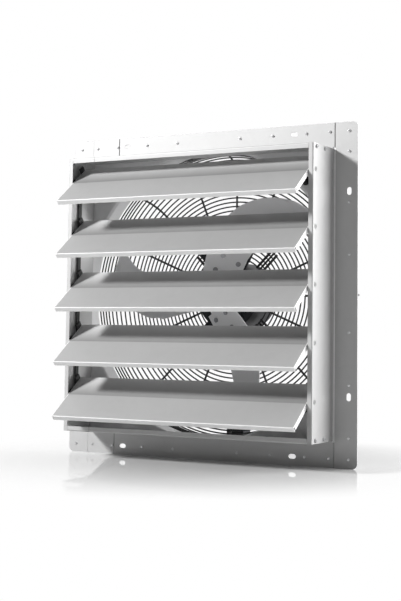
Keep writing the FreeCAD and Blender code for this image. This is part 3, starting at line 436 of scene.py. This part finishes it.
@dataclass(frozen=True)
class PlasticFinish:
    """Moulded nylon or rubber with a sparked grain."""

    name: str
    tint: Colour
    roughness: float = 0.55
    grain_scale: float = 1500.0
    grain_rough: float = 0.2
    grain_relief: float = 0.12
    grain_depth: float = 0.1 * MM
    wear_scale: float = 40.0
    wear_tone: float = 0.3

    def level(self, graph: Graph) -> Field:
        """Brightness over the surface, about 1."""
        return graph.noise(self.wear_scale).swing(self.wear_tone) + 1.0

    def build(self) -> bpy.types.Material:
        """Make the material.

        Returns:
            The finish as a material.
        """
        material, graph = new_graph(self.name)
        grain = graph.noise(self.grain_scale, detail=3.0)
        graph.surface({
            "Base Color": graph.grey(self.level(graph), self.tint),
            "Roughness": grain.swing(self.grain_rough) + self.roughness,
            "Normal": graph.bump(grain, self.grain_relief, self.grain_depth),
        })
        return material


@dataclass(frozen=True, kw_only=True)
class PinFinish(PlasticFinish):
    """Dark moulding whose pin is pale where it runs in the wall's bush."""

    wall: float
    pin_soft: float = 0.2 * MM
    pin_tone: float = 15.0

    def level(self, graph: Graph) -> Field:
        """Brightness over the moulding, high on the end of its pin.

        Args:
            graph: node tree of the material.

        Returns:
            The factor on the tint.
        """
        x, _, _ = graph.axes()
        pin = x.size().ease(self.wall, self.wall + self.pin_soft)
        return super().level(graph) * (pin * (self.pin_tone - 1.0) + 1.0)


@dataclass(frozen=True)
class TurnedFinish:
    """Plated or ground metal of small hardware."""

    name: str
    tint: Colour
    roughness: float = 0.28
    metallic: float = 0.85
    fine_scale: float = 900.0
    fine_rough: float = 0.14
    fine_relief: float = 0.05
    fine_depth: float = 0.1 * MM
    stain_scale: float = 60.0
    stain_tone: float = 0.16
    stain_rough: float = 0.12

    def build(self) -> bpy.types.Material:
        """Make the material.

        Returns:
            The finish as a material.
        """
        material, graph = new_graph(self.name)
        fine = graph.noise(self.fine_scale, detail=3.0)
        stain = graph.noise(self.stain_scale)
        graph.surface({
            "Base Color": graph.grey(stain.swing(self.stain_tone) + 1.0, self.tint),
            "Metallic": self.metallic,
            "Roughness": fine.swing(self.fine_rough) + stain.swing(self.stain_rough) + self.roughness,
            "Normal": graph.bump(fine, self.fine_relief, self.fine_depth),
        })
        return material


@dataclass(frozen=True)
class BandedFinish:
    """Stacked laminations or wound wire: fine bands along the motor's axis."""

    name: str
    tint: Colour
    pitch: float
    roughness: float = 0.4
    metallic: float = 0.7
    base_tone: float = 0.9
    band_tone: float = 0.16
    band_relief: float = 0.4
    band_depth: float = 0.4 * MM
    stain_scale: float = 50.0
    stain_tone: float = 0.2
    stain_rough: float = 0.2

    def build(self) -> bpy.types.Material:
        """Make the material.

        Returns:
            The finish as a material.
        """
        material, graph = new_graph(self.name)
        _, y, _ = graph.axes()
        turn = y * (2 * math.pi / self.pitch)
        bands = turn.math("SINE", turn)
        stain = graph.noise(self.stain_scale)
        graph.surface({
            "Base Color": graph.grey(bands * self.band_tone + stain.swing(self.stain_tone) + self.base_tone,
                                     self.tint),
            "Metallic": self.metallic,
            "Roughness": stain.swing(self.stain_rough) + self.roughness,
            "Normal": graph.bump(bands, self.band_relief, self.band_depth),
        })
        return material


def show(nodes: Iterable[str], material: bpy.types.Material) -> None:
    """Give a finish to whole nodes of the frame.

    Args:
        nodes: node names.
        material: finish that takes every material slot.
    """
    for name in nodes:
        data = frame["nodes"][name].data
        data.materials.clear()
        data.materials.append(material)
        LOG.info("%s wears %s", name, material.name)


def pick_none() -> None:
    """Leave edit mode and deselect every object."""
    if bpy.context.object is not None and bpy.context.object.mode != "OBJECT":
        bpy.ops.object.mode_set(mode="OBJECT")
    bpy.ops.object.select_all(action="DESELECT")


def edit_faces(piece: bpy.types.Object, wanted: Callable[[bpy.types.MeshPolygon], bool]) -> None:
    """Enter edit mode with some faces selected.

    Args:
        piece: mesh object.
        wanted: test that a selected face passes.
    """
    bpy.context.view_layer.objects.active = piece
    bpy.ops.object.mode_set(mode="EDIT")
    bpy.ops.mesh.select_mode(type="FACE")
    bpy.ops.mesh.select_all(action="DESELECT")
    bpy.ops.object.mode_set(mode="OBJECT")
    for face in piece.data.polygons:
        face.select = wanted(face)
    bpy.ops.object.mode_set(mode="EDIT")


def cut_out(piece: bpy.types.Object, cutter: bpy.types.Object) -> None:
    """Cut one mesh out of another, then remove the cutter and smooth what is left.

    Args:
        piece: mesh that is cut.
        cutter: mesh that is taken away.
    """
    cut = piece.modifiers.new("cut", "BOOLEAN")
    cut.operation, cut.object, cut.solver = "DIFFERENCE", cutter, "EXACT"
    pick_none()
    piece.select_set(True)
    bpy.context.view_layer.objects.active = piece
    bpy.ops.object.modifier_apply(modifier=cut.name)
    bpy.ops.object.shade_smooth_by_angle(angle=SMOOTH_ANGLE)
    bpy.data.objects.remove(cutter)


def joined_copies(pattern: bpy.types.Object, places: Iterable[Matrix]) -> bpy.types.Object:
    """Join copies of a piece, which is then removed.

    Args:
        pattern: piece at the origin.
        places: place of each copy.

    Returns:
        One object at the origin with all the copies.
    """
    copies = []
    for place in places:
        copy = pattern.copy()
        copy.data = pattern.data.copy()
        copy.data.transform(place)
        bpy.context.scene.collection.objects.link(copy)
        copies.append(copy)
    bpy.data.objects.remove(pattern)
    pick_none()
    for copy in copies:
        copy.select_set(True)
    bpy.context.view_layer.objects.active = copies[0]
    bpy.ops.object.join()
    return bpy.context.active_object


def facing(place: Vector, out: Vector) -> Matrix:
    """Place of a piece, modelled at the origin along +Z, that faces another way."""
    return Matrix.Translation(place) @ out.to_track_quat("Z", "Y").to_matrix().to_4x4()


@dataclass(frozen=True)
class Crown:
    """Domed face of a fastener head, pierced by its drive or mandrel hole."""

    name: str
    node: str
    slot: str
    radius: float
    height: float
    recess: Recess
    width: float
    axis: Axis = Axis.Y
    ends: tuple[int, ...] = (-1,)
    twist: float = 37.0
    sides: int = 32
    round_share: float = 0.8
    round_steps: int = 4
    cut_heights: float = 4.0
    slot_share: float = 0.30
    arm_out: float = 0.4
    arm_aside: float = 0.1
    flat: float = 0.99
    flush: float = 0.02 * MM
    head_radii: float = 3.0

    def body(self) -> bpy.types.Object:
        """Model one crown at the origin, facing +Z.

        Returns:
            The crown without its drive or hole.
        """
        pick_none()
        bpy.ops.mesh.primitive_cylinder_add(vertices=self.sides, radius=self.radius, depth=self.height,
                                            location=(0.0, 0.0, self.height / 2))
        bpy.ops.object.transform_apply(location=True)
        crown = bpy.context.active_object
        edit_faces(crown, lambda face: face.normal.z > SAME_WAY)
        bpy.ops.mesh.bevel(offset=self.round_share * self.height, segments=self.round_steps, affect="EDGES")
        bpy.ops.object.mode_set(mode="OBJECT")
        return crown

    def cutter(self) -> bpy.types.Object:
        """Model the shape of the drive or hole, through the whole crown.

        Returns:
            The shape that is cut out.
        """
        pick_none()
        depth = self.cut_heights * self.height
        if self.recess is not Recess.CROSS:
            sides = HEX_SIDES if self.recess is Recess.HEX else self.sides
            bpy.ops.mesh.primitive_cylinder_add(vertices=sides, radius=self.width / 2, depth=depth)
            return bpy.context.active_object
        slot = self.slot_share * self.width
        bpy.ops.mesh.primitive_cube_add(size=1.0, scale=(slot, slot, depth))
        bpy.ops.object.transform_apply(scale=True)
        cross = bpy.context.active_object
        for out in CROSS_WAYS:
            edit_faces(cross, lambda face, out=out: self.starts_arm(face, out, slot))
            bpy.ops.mesh.extrude_region_move(TRANSFORM_OT_translate={"value": out * (self.width - slot) / 2})
            bpy.ops.object.mode_set(mode="OBJECT")
        return cross

    def starts_arm(self, face: bpy.types.MeshPolygon, out: Vector, slot: float) -> bool:
        """Find the face that an arm of the cross grows from.

        Args:
            face: face of the cross.
            out: direction of the arm.
            slot: side of the cross's middle block.

        Returns:
            Whether the face is the block's side in that direction.
        """
        along = face.center.dot(out)
        aside = (face.center - out * along).length
        ahead = face.normal.dot(out) > SAME_WAY and along > self.arm_out * slot
        return ahead and aside < self.arm_aside * slot

    def model(self) -> bpy.types.Object:
        """Model one pierced crown at the origin.

        Returns:
            The finished crown.
        """
        crown = self.body()
        cut_out(crown, self.cutter())
        return crown

    def seats(self) -> list[tuple[Vector, Vector]]:
        """Find the heads in the node.

        Returns:
            Middle of the flat face and outward direction of each head.
        """
        near = self.head_radii * self.radius
        mesh, index = frame["nodes"][self.node].data, self.axis.value
        low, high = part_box(self.node)
        seats: list[tuple[Vector, Vector]] = []
        for sign in self.ends:
            end = (low if sign < 0 else high)[index]
            out = Vector([sign * float(i == index) for i in range(3)])
            boxes: list[list[Vector]] = []
            for face in mesh.polygons:
                if face.normal.dot(out) < self.flat or abs(face.center[index] - end) > self.flush:
                    continue
                corners = [mesh.vertices[number].co for number in face.vertices]
                home = next((box for box in boxes if (box[0] - face.center).length < near), None)
                if home is None:
                    home = [corners[0].copy(), corners[0].copy()]
                    boxes.append(home)
                for corner in corners:
                    home[0] = Vector(map(min, home[0], corner))
                    home[1] = Vector(map(max, home[1], corner))
            seats += [((box[0] + box[1]) / 2, out) for box in boxes]
        return seats

    def build(self, material: bpy.types.Material) -> bpy.types.Object:
        """Set a copy on each head of the node.

        Args:
            material: finish of the crowns.

        Returns:
            The piece that holds all the copies.
        """
        pattern = self.model()
        pattern.data.materials.append(material)
        places = [facing(place, out) @ Matrix.Rotation(math.radians(self.twist * number), 4, "Z")
                  for number, (place, out) in enumerate(self.seats())]
        piece = joined_copies(pattern, places)
        piece.name = self.name
        LOG.info("%s: %d crowns", self.name, len(places))
        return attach(piece, "frame")


@dataclass(frozen=True)
class RearBell:
    """Rear end bell of the motor: a stepped face with a bearing boss and vent slots."""

    node: str = "motor_rear_bell"
    slot: str = "motor_enamel"
    depth: float = 10.0 * MM
    rim: float = 3.0 * MM
    land: float = 7.0 * MM
    step: float = 2.0 * MM
    boss: float = 17.0 * MM
    boss_rim: float = 4.0 * MM
    boss_sink: float = 1.2 * MM
    vents: int = 14
    vent_radius: float = 37.5 * MM
    vent_size: tuple[float, float, float] = (25.0 * MM, 6.0 * MM, 13.0 * MM)
    vent_edge: float = 2.4 * MM
    vent_steps: int = 4
    rim_steps: int = 5
    sides: int = 96
    flat: float = 0.999

    def face(self, radius: float) -> bpy.types.Object:
        """Model the bell without its vents, at the origin, facing +Z.

        Args:
            radius: outer radius of the bell.

        Returns:
            The stepped bell.
        """
        pick_none()
        bpy.ops.mesh.primitive_cylinder_add(vertices=self.sides, radius=radius, depth=self.depth,
                                            location=(0.0, 0.0, self.depth / 2))
        bpy.ops.object.transform_apply(location=True)
        bell = bpy.context.active_object
        edit_faces(bell, lambda face: face.normal.z > SAME_WAY)
        bpy.ops.mesh.bevel(offset=self.rim, segments=self.rim_steps, affect="EDGES")
        bpy.ops.object.mode_set(mode="OBJECT")
        edit_faces(bell, lambda face: face.normal.z > self.flat)
        valley = radius - self.rim - self.land - self.boss
        steps = ((self.land, -self.step), (valley, self.step), (self.boss_rim, -self.boss_sink))
        for inset, rise in steps:
            bpy.ops.mesh.inset(thickness=inset)
            bpy.ops.mesh.extrude_region_move(TRANSFORM_OT_translate={"value": (0.0, 0.0, rise)})
        bpy.ops.object.mode_set(mode="OBJECT")
        return bell

    def vent_cutter(self) -> bpy.types.Object:
        """Model the ring of rounded slots.

        Returns:
            The shape that is cut out.
        """
        pick_none()
        place = (self.vent_radius, 0.0, self.depth)
        bpy.ops.mesh.primitive_cube_add(size=1.0, scale=self.vent_size, location=place)
        bpy.ops.object.transform_apply(location=True, scale=True)
        vent = bpy.context.active_object
        edit_faces(vent, lambda face: True)
        bpy.ops.mesh.bevel(offset=self.vent_edge, segments=self.vent_steps, affect="EDGES")
        bpy.ops.object.mode_set(mode="OBJECT")
        turns = [2 * math.pi * number / self.vents for number in range(self.vents)]
        return joined_copies(vent, [Matrix.Rotation(turn, 4, "Z") for turn in turns])

    def build(self, material: bpy.types.Material) -> bpy.types.Object:
        """Put the bell in the place of its node.

        Args:
            material: finish of the bell.

        Returns:
            The bell.
        """
        low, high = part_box(self.node)
        bell = self.face((high.x - low.x) / 2)
        cut_out(bell, self.vent_cutter())
        bell.name = "rear_bell"
        bell.data.transform(facing(Vector((0.0, high.y - self.depth, 0.0)), Vector((0.0, 1.0, 0.0))))
        bell.data.materials.append(material)
        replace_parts(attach(bell, "frame"), self.node)
        LOG.info("%s: %d vents", bell.name, self.vents)
        return bell


@dataclass
class Camera:
    """Camera at the photograph's viewing angle, with the frame's shift."""

    azimuth: float = 28.313
    elevation: float = -4.787
    roll: float = 0.627
    focal_px: float = 1242.9
    aim: tuple[float, float, float] = (68.94 * MM, 0.0, 116.24 * MM)
    distance: float = 2257.4 * MM
    centre_px: tuple[float, float] = (240.0, 230.0)
    image_px: tuple[int, int] = (401, 601)
    sensor: float = 36.0

    def build(self) -> bpy.types.Object:
        """Make the camera and put it in use.

        Returns:
            The camera.
        """
        turn, lift, roll = (math.radians(a) for a in (self.azimuth, self.elevation, self.roll))
        back = Vector((math.sin(turn) * math.cos(lift), -math.cos(turn) * math.cos(lift), math.sin(lift)))
        level = (-back).cross(Vector((0.0, 0.0, 1.0))).normalized()
        rise = level.cross(-back)
        right = level * math.cos(roll) + rise * math.sin(roll)
        up = rise * math.cos(roll) - level * math.sin(roll)
        data = bpy.data.cameras.new("camera")
        long_side = max(self.image_px)
        data.sensor_width = self.sensor
        data.lens = self.focal_px * self.sensor / long_side
        data.shift_x = (self.image_px[0] / 2 - self.centre_px[0]) / long_side
        data.shift_y = (self.centre_px[1] - self.image_px[1] / 2) / long_side
        camera = bpy.data.objects.new("camera", data)
        bpy.context.scene.collection.objects.link(camera)
        turned = Matrix((right, up, back)).transposed().to_4x4()
        camera.matrix_world = Matrix.Translation(Vector(self.aim) + back * self.distance) @ turned
        bpy.context.scene.camera = camera
        return camera


@dataclass
class Studio:
    """Pale glossy floor, white surroundings and soft lamps."""

    floor_size: float = 14.0
    floor_tint: float = 0.92
    floor_bounce: float = 0.32
    floor_gloss: float = 0.03
    floor_shine: float = 0.14
    fade: tuple[float, float] = (0.03, 0.32)
    ambient: float = 0.09
    front_glow: float = 0.20
    glow_span: tuple[float, float] = (-0.6, 0.3)
    key_power: float = 264.0
    key_place: tuple[float, float, float] = (-3.12, -2.88, 2.32)
    key_size: float = 0.72
    side_power: float = 112.0
    side_place: tuple[float, float, float] = (2.41, 1.57, 0.85)
    side_size: float = 2.6

    def lamp(self, name: str, place: Sequence[float], size: float, power: float) -> None:
        """Square soft lamp that faces the middle of the fan.

        Args:
            name: lamp name.
            place: lamp centre.
            size: lamp side.
            power: lamp power in watts.
        """
        data = bpy.data.lights.new(name, "AREA")
        data.size = size
        data.energy = power
        lamp = bpy.data.objects.new(name, data)
        lamp.location = place
        lamp.rotation_euler = Vector(place).to_track_quat("Z", "Y").to_euler()
        bpy.context.scene.collection.objects.link(lamp)

    def rays(self, graph: Graph) -> tuple[Field, Field]:
        """Tell the rays apart.

        Args:
            graph: node tree of the world or floor.

        Returns:
            Masks of the rays from the eye, and of those by a reflection or through glass.
        """
        camera = graph.node("ShaderNodeLightPath", output="Is Camera Ray")
        outputs = camera.socket.node.outputs
        glossy = Field(graph, outputs["Is Glossy Ray"])
        return camera, glossy.most(Field(graph, outputs["Is Transmission Ray"]))

    def background(self) -> None:
        """World that is white to the eye, dimmer in front in reflections, and a soft light on surfaces."""
        world = bpy.data.worlds.new("studio")
        world.use_nodes = True
        bpy.context.scene.world = world
        graph = Graph(world.node_tree)
        camera, mirrored = self.rays(graph)
        _, y, _ = graph.split(graph.node("ShaderNodeTexCoord", output="Generated"))
        glow = y.ease(*self.glow_span) * (1.0 - self.front_glow) + self.front_glow
        strength = (mirrored * (glow - self.ambient) + self.ambient).most(camera)
        white = graph.node("ShaderNodeBackground", None, {"Color": WHITE, "Strength": strength})
        graph.output(white, "ShaderNodeOutputWorld")

    def floor(self) -> None:
        """Pale floor that fades to white away from the fan and throws little light back on it."""
        pick_none()
        bpy.ops.mesh.primitive_plane_add(size=self.floor_size, location=(0.0, 0.0, CAD_BOX[0].z))
        floor = bpy.context.active_object
        floor.name = "studio_floor"
        bpy.ops.object.transform_apply(location=True)
        material, graph = new_graph("studio_floor")
        camera, mirrored = self.rays(graph)
        seen = camera.most(mirrored)
        tone = seen * (self.floor_tint - self.floor_bounce) + self.floor_bounce
        shader = graph.node("ShaderNodeBsdfPrincipled", None, {
            "Base Color": graph.grey(tone, WHITE[:3]),
            "Roughness": self.floor_gloss,
            "Specular IOR Level": self.floor_shine,
        }, "BSDF")
        white = graph.node("ShaderNodeEmission", None, {"Color": WHITE, "Strength": 1.0})
        x, y, _ = graph.axes()
        away = (x * x + y * y).ease(*self.fade) * seen
        graph.output(graph.node("ShaderNodeMixShader", None, {0: away, 1: shader, 2: white}))
        floor.data.materials.append(material)

    def build(self) -> None:
        """Make the whole studio."""
        self.background()
        self.floor()
        self.lamp("key", self.key_place, self.key_size, self.key_power)
        self.lamp("side", self.side_place, self.side_size, self.side_power)
        bpy.context.scene.view_settings.view_transform = "Standard"


@dataclass
class Housing:
    """Sheet-metal box, wall flange and orifice panel."""

    tint: Colour = (0.60, 0.60, 0.60)
    roughness: float = 0.52
    metallic: float = 0.35
    panel: SheetFinish = SheetFinish("zinc_panel", (0.86, 0.86, 0.865), 0.40, 0.2)
    bright: TurnedFinish = TurnedFinish("bright_zinc", (0.62, 0.62, 0.63), 0.42, 0.35)
    plated: TurnedFinish = TurnedFinish("zinc_hardware", (0.70, 0.70, 0.71))
    rivets: Crown = Crown("rivet_crowns", "flange_rivets", "zinc_fasteners", 2.3 * MM, 0.5 * MM,
                          Recess.MANDREL, width=1.5 * MM)
    screws: Crown = Crown("screw_crowns", "wall_screws", "zinc_fasteners", 2.8 * MM, 0.7 * MM,
                          Recess.CROSS, width=3.6 * MM, axis=Axis.X, ends=(-1, 1))

    def dress(self) -> None:
        """Give the sheets and their fasteners their finishes."""
        sheets = ("right_wall", "left_wall", "top_rail_long", "top_rail_short", "bottom_rail_long",
                  "bottom_rail_short")
        # the sheets' finish paints shade in the flange seams and a highlight along each wall's bend
        seams = tuple(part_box(name)[1].x for name in ("top_rail_short", "top_rail_long"))
        finish = SeamFinish("zinc_sheet", self.tint, self.roughness, self.metallic,
                            seams=seams, bend=seams[-1])
        show(sheets, finish.build())
        show(("orifice_panel",), self.panel.build())
        plated, bright = self.plated.build(), self.bright.build()
        show(("flange_rivets", "guard_nuts", "motor_screws", "junction_clamp", "junction_screws"), plated)
        show(("wall_screws",), bright)
        self.rivets.build(plated)
        self.screws.build(bright)


@dataclass
class Shutter:
    """Linked louvres with their moulded end pieces."""

    tint: Colour = (0.49, 0.49, 0.49)
    roughness: float = 0.62
    metallic: float = 0.30
    end_sheet: float = 1.05 * MM
    bush_depth: float = 4.0 * MM
    pale: PlasticFinish = PlasticFinish("pale_nylon", (0.60, 0.60, 0.60), 0.5)
    nylon: PlasticFinish = PlasticFinish("black_nylon", (0.023, 0.023, 0.023))

    def dress(self) -> None:
        """Give each louvre a finish about its own pivot, and the mouldings theirs."""
        pivots = [joint for joint in frame["joints"] if joint["name"].startswith("louvre_")]
        for joint in pivots:
            # each louvre's finish paints shade and light on its strip and highlights on its lip and turned
            # ends
            finish = LouvreFinish(joint["child"] + "_sheet", self.tint, self.roughness, self.metallic,
                                  pivot=(joint["pos_m"][1], joint["pos_m"][2]),
                                  end_start=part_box(joint["child"])[1].x - self.end_sheet)
            show((joint["child"],), finish.build())
        ends = [joint["child"] + end for joint in pivots for end in ("_crank", "_stub")]
        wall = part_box("pivot_bushes")[1].x - self.bush_depth
        show(ends, PinFinish("louvre_moulding", self.nylon.tint, wall=wall).build())
        show(("tie_bar", "motor_conduit", "cable_gland"), self.nylon.build())
        show(("pivot_bushes",), self.pale.build())


@dataclass
class WireGuard:
    """Welded wire guard behind the fan."""

    coat: CoatFinish = CoatFinish("black_powder_coat", (0.018, 0.018, 0.019))
    oxide: TurnedFinish = TurnedFinish("black_oxide", (0.05, 0.05, 0.052), 0.38)
    rubber: PlasticFinish = PlasticFinish("washer_rubber", (0.02, 0.02, 0.02), 0.75)
    sockets: Crown = Crown("bolt_crowns", "guard_bolts", "black_fasteners", 4.6 * MM, 0.9 * MM,
                           Recess.HEX, width=5.2 * MM)

    def dress(self) -> None:
        """Give the wires, bolts and washers their finishes."""
        show(("guard_ribs", "guard_back_rings", "guard_side_rings", "guard_base_ring", "guard_feet",
              "guard_stays"), self.coat.build())
        oxide = self.oxide.build()
        show(("guard_bolts",), oxide)
        self.sockets.build(oxide)
        show(("guard_washers",), self.rubber.build())


@dataclass
class Motor:
    """Motor with its bracket, windings and junction box."""

    enamel: CoatFinish = CoatFinish("motor_enamel", (0.022, 0.023, 0.026), 0.52, specular=0.25)
    core: BandedFinish = BandedFinish("core_laminations", (0.30, 0.30, 0.31), 0.9 * MM)
    copper: BandedFinish = BandedFinish("winding_copper", (0.55, 0.24, 0.10), 1.4 * MM)
    steel: TurnedFinish = TurnedFinish("ground_steel", (0.62, 0.62, 0.63), 0.22)
    bell: RearBell = RearBell()

    def dress(self) -> None:
        """Give the motor's pieces their finishes."""
        enamel = self.enamel.build()
        show(("motor_shell", "motor_front_bell", "motor_rear_bell", "motor_bracket", "junction_box",
              "junction_lid"), enamel)
        self.bell.build(enamel)
        show(("stator_core", "rotor_core"), self.core.build())
        show(("stator_coils",), self.copper.build())
        show(("front_bearing", "rear_bearing", "fan_shaft", "hub_nut"), self.steel.build())


@dataclass
class FanWheel:
    """Pressed blades on a cast hub."""

    blades: SheetFinish = SheetFinish("blade_aluminium", (0.95, 0.95, 0.96), 0.52, 0.15,
                                      grain=Axis.Y, spangle=0.01)
    steel: TurnedFinish = TurnedFinish("rivet_steel", (0.30, 0.30, 0.31), 0.34)

    def dress(self) -> None:
        """Give the blades, hub and rivets their finishes."""
        show(("fan_hub", "fan_blade_1", "fan_blade_2", "fan_blade_3"), self.blades.build())
        show(("blade_rivets",), self.steel.build())


def main() -> None:
    """Build the fan's looks, then its surroundings."""
    logging.basicConfig(level=logging.INFO, format="%(name)s: %(message)s")
    for part in (Housing(), Shutter(), WireGuard(), Motor(), FanWheel()):
        part.dress()
    Studio().build()
    Camera().build()


if __name__ == "__main__":
    main()
